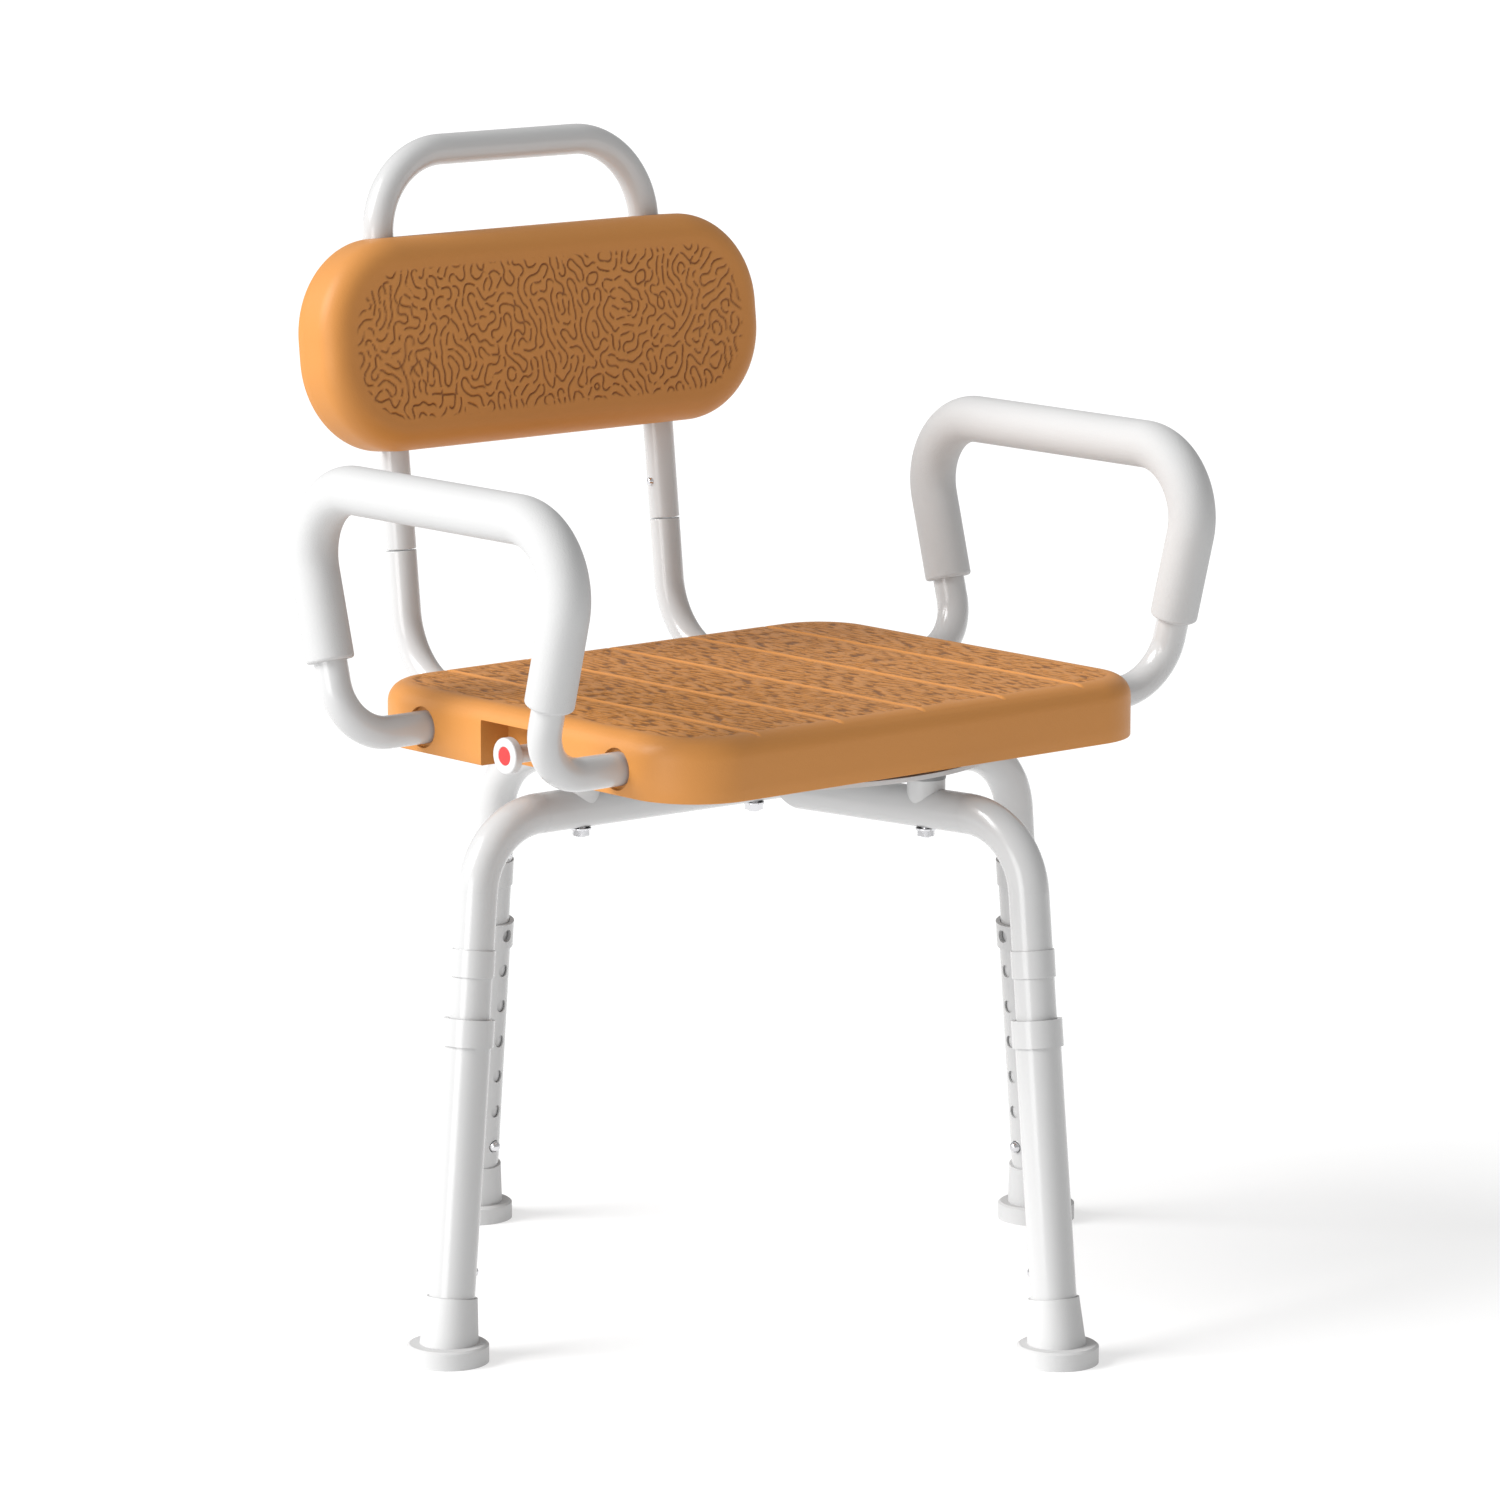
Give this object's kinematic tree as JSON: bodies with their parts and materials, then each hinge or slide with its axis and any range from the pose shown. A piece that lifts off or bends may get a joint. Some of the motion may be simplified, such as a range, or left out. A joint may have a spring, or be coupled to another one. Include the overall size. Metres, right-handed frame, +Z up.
{
  "type": "swivel shower chair",
  "caption": "Swivel shower chair: slatted plastic seat on a turntable, padded loop arms, lift-off back hoop with oval pad, and telescoping splayed legs.",
  "frame": {"origin": "swivel axis at floor level, legs fully down", "axes": "+Z up, -Y the way the seat faces, +X the sitter's left; the base stands turned 40.8 degrees under the seat"},
  "size_m": [0.575, 0.5736, 0.7299],
  "materials": {
    "white_tube": "gloss white powder coat",
    "white_plastic": "smooth white",
    "grey_plastic": "matte grey",
    "foot_rubber": "pale matte rubber",
    "grip_foam": "matte closed-cell foam",
    "seat_plastic": "satin tan with moulded wood grain",
    "pad_plastic": "satin tan",
    "knob_plastic": "gloss white",
    "red_plastic": "gloss red",
    "cage_plastic": "black nylon",
    "plate_steel": "light grey powder coat",
    "bright_steel": "bright plated"
  },
  "bodies": {
    "base": {"base_tube_lower": "white_tube", "base_tube_upper": "white_tube", "joint_rings": "white_tube", "inner_leg_fl": "white_tube", "inner_leg_fr": "white_tube", "inner_leg_rl": "white_tube", "inner_leg_rr": "white_tube", "saddle_spacers": "white_plastic", "spacer_caps": "grey_plastic", "plate_bolts": "bright_steel", "crossing_bolt": "bright_steel", "lock_nuts": "bright_steel", "turntable_plate": "plate_steel", "lower_race": "bright_steel", "king_pin": "bright_steel"},
    "seat": {"upper_race": "bright_steel", "swivel_plate": "plate_steel", "swivel_screws": "bright_steel", "seat_shell": "seat_plastic", "tube_screws": "bright_steel", "arm_tube_left": "white_tube", "arm_tube_right": "white_tube", "arm_grip_left": "grip_foam", "arm_grip_right": "grip_foam", "back_post_left": "white_tube", "back_post_right": "white_tube", "back_hoop": "white_tube", "back_pad": "pad_plastic", "back_cover": "pad_plastic", "pad_screws": "bright_steel", "plunger_housing": "bright_steel", "plunger_spring": "bright_steel"},
    "bearing": {"ball_cage": "cage_plastic", "balls": "bright_steel"},
    "plunger": {"plunger_pin": "knob_plastic", "plunger_knob": "knob_plastic", "knob_cap": "red_plastic"},
    "leg_fl": {"lower_leg_fl": "white_tube", "lock_collar_fl": "white_tube", "foot_fl": "foot_rubber"},
    "height_button_fl": {"height_button_fl": "bright_steel"},
    "release_button_fl": {"release_button_fl": "bright_steel"},
    "leg_fr": {"lower_leg_fr": "white_tube", "lock_collar_fr": "white_tube", "foot_fr": "foot_rubber"},
    "height_button_fr": {"height_button_fr": "bright_steel"},
    "release_button_fr": {"release_button_fr": "bright_steel"},
    "leg_rl": {"lower_leg_rl": "white_tube", "lock_collar_rl": "white_tube", "foot_rl": "foot_rubber"},
    "height_button_rl": {"height_button_rl": "bright_steel"},
    "release_button_rl": {"release_button_rl": "bright_steel"},
    "leg_rr": {"lower_leg_rr": "white_tube", "lock_collar_rr": "white_tube", "foot_rr": "foot_rubber"},
    "height_button_rr": {"height_button_rr": "bright_steel"},
    "release_button_rr": {"release_button_rr": "bright_steel"},
    "back_button_left": {"back_button_left": "bright_steel"},
    "back_button_right": {"back_button_right": "bright_steel"}
  },
  "joints": [
    {"name": "seat_swivel", "type": "hinge", "parent": "base", "child": "seat", "pos_m": [0, 0, 0.36], "axis": [0, 0, 1], "continuous": true},
    {"name": "bearing_turn", "type": "hinge", "parent": "base", "child": "bearing", "pos_m": [0, 0, 0.36], "axis": [0, 0, 1], "continuous": true},
    {"name": "lock_plunger", "type": "slide", "parent": "seat", "child": "plunger", "axis": [1, 0, 0], "range_m": [0, 0.008]},
    {"name": "leg_height_fl", "type": "slide", "parent": "base", "child": "leg_fl", "axis": [-0.1397, -0.0654, -0.988], "range_m": [0, 0.15]},
    {"name": "height_button_press_fl", "type": "slide", "parent": "base", "child": "height_button_fl", "axis": [-0.9896, 0.0425, 0.1371], "range_m": [0, 0.0055], "stiffness_N_per_m": 400},
    {"name": "release_button_press_fl", "type": "slide", "parent": "base", "child": "release_button_fl", "axis": [-0.9896, 0.0425, 0.1371], "range_m": [0, 0.0035], "stiffness_N_per_m": 400},
    {"name": "leg_height_fr", "type": "slide", "parent": "base", "child": "leg_fr", "axis": [-0.0443, -0.1477, -0.988], "range_m": [0, 0.15]},
    {"name": "height_button_press_fr", "type": "slide", "parent": "base", "child": "height_button_fr", "axis": [0.1867, -0.9728, 0.1371], "range_m": [0, 0.0055], "stiffness_N_per_m": 400},
    {"name": "release_button_press_fr", "type": "slide", "parent": "base", "child": "release_button_fr", "axis": [0.1867, -0.9728, 0.1371], "range_m": [0, 0.0035], "stiffness_N_per_m": 400},
    {"name": "leg_height_rl", "type": "slide", "parent": "base", "child": "leg_rl", "axis": [0.0443, 0.1477, -0.988], "range_m": [0, 0.15]},
    {"name": "height_button_press_rl", "type": "slide", "parent": "base", "child": "height_button_rl", "axis": [-0.1867, 0.9728, 0.1371], "range_m": [0, 0.0055], "stiffness_N_per_m": 400},
    {"name": "release_button_press_rl", "type": "slide", "parent": "base", "child": "release_button_rl", "axis": [-0.1867, 0.9728, 0.1371], "range_m": [0, 0.0035], "stiffness_N_per_m": 400},
    {"name": "leg_height_rr", "type": "slide", "parent": "base", "child": "leg_rr", "axis": [0.1397, 0.0654, -0.988], "range_m": [0, 0.15]},
    {"name": "height_button_press_rr", "type": "slide", "parent": "base", "child": "height_button_rr", "axis": [0.9896, -0.0425, 0.1371], "range_m": [0, 0.0055], "stiffness_N_per_m": 400},
    {"name": "release_button_press_rr", "type": "slide", "parent": "base", "child": "release_button_rr", "axis": [0.9896, -0.0425, 0.1371], "range_m": [0, 0.0035], "stiffness_N_per_m": 400},
    {"name": "back_button_press_left", "type": "slide", "parent": "seat", "child": "back_button_left", "axis": [1, 0, 0], "range_m": [0, 0.003], "stiffness_N_per_m": 400},
    {"name": "back_button_press_right", "type": "slide", "parent": "seat", "child": "back_button_right", "axis": [-1, 0, 0], "range_m": [0, 0.003], "stiffness_N_per_m": 400}
  ],
  "couplings": [
    {"joint": "bearing_turn", "follows": "seat_swivel", "ratio": 0.5}
  ]
}
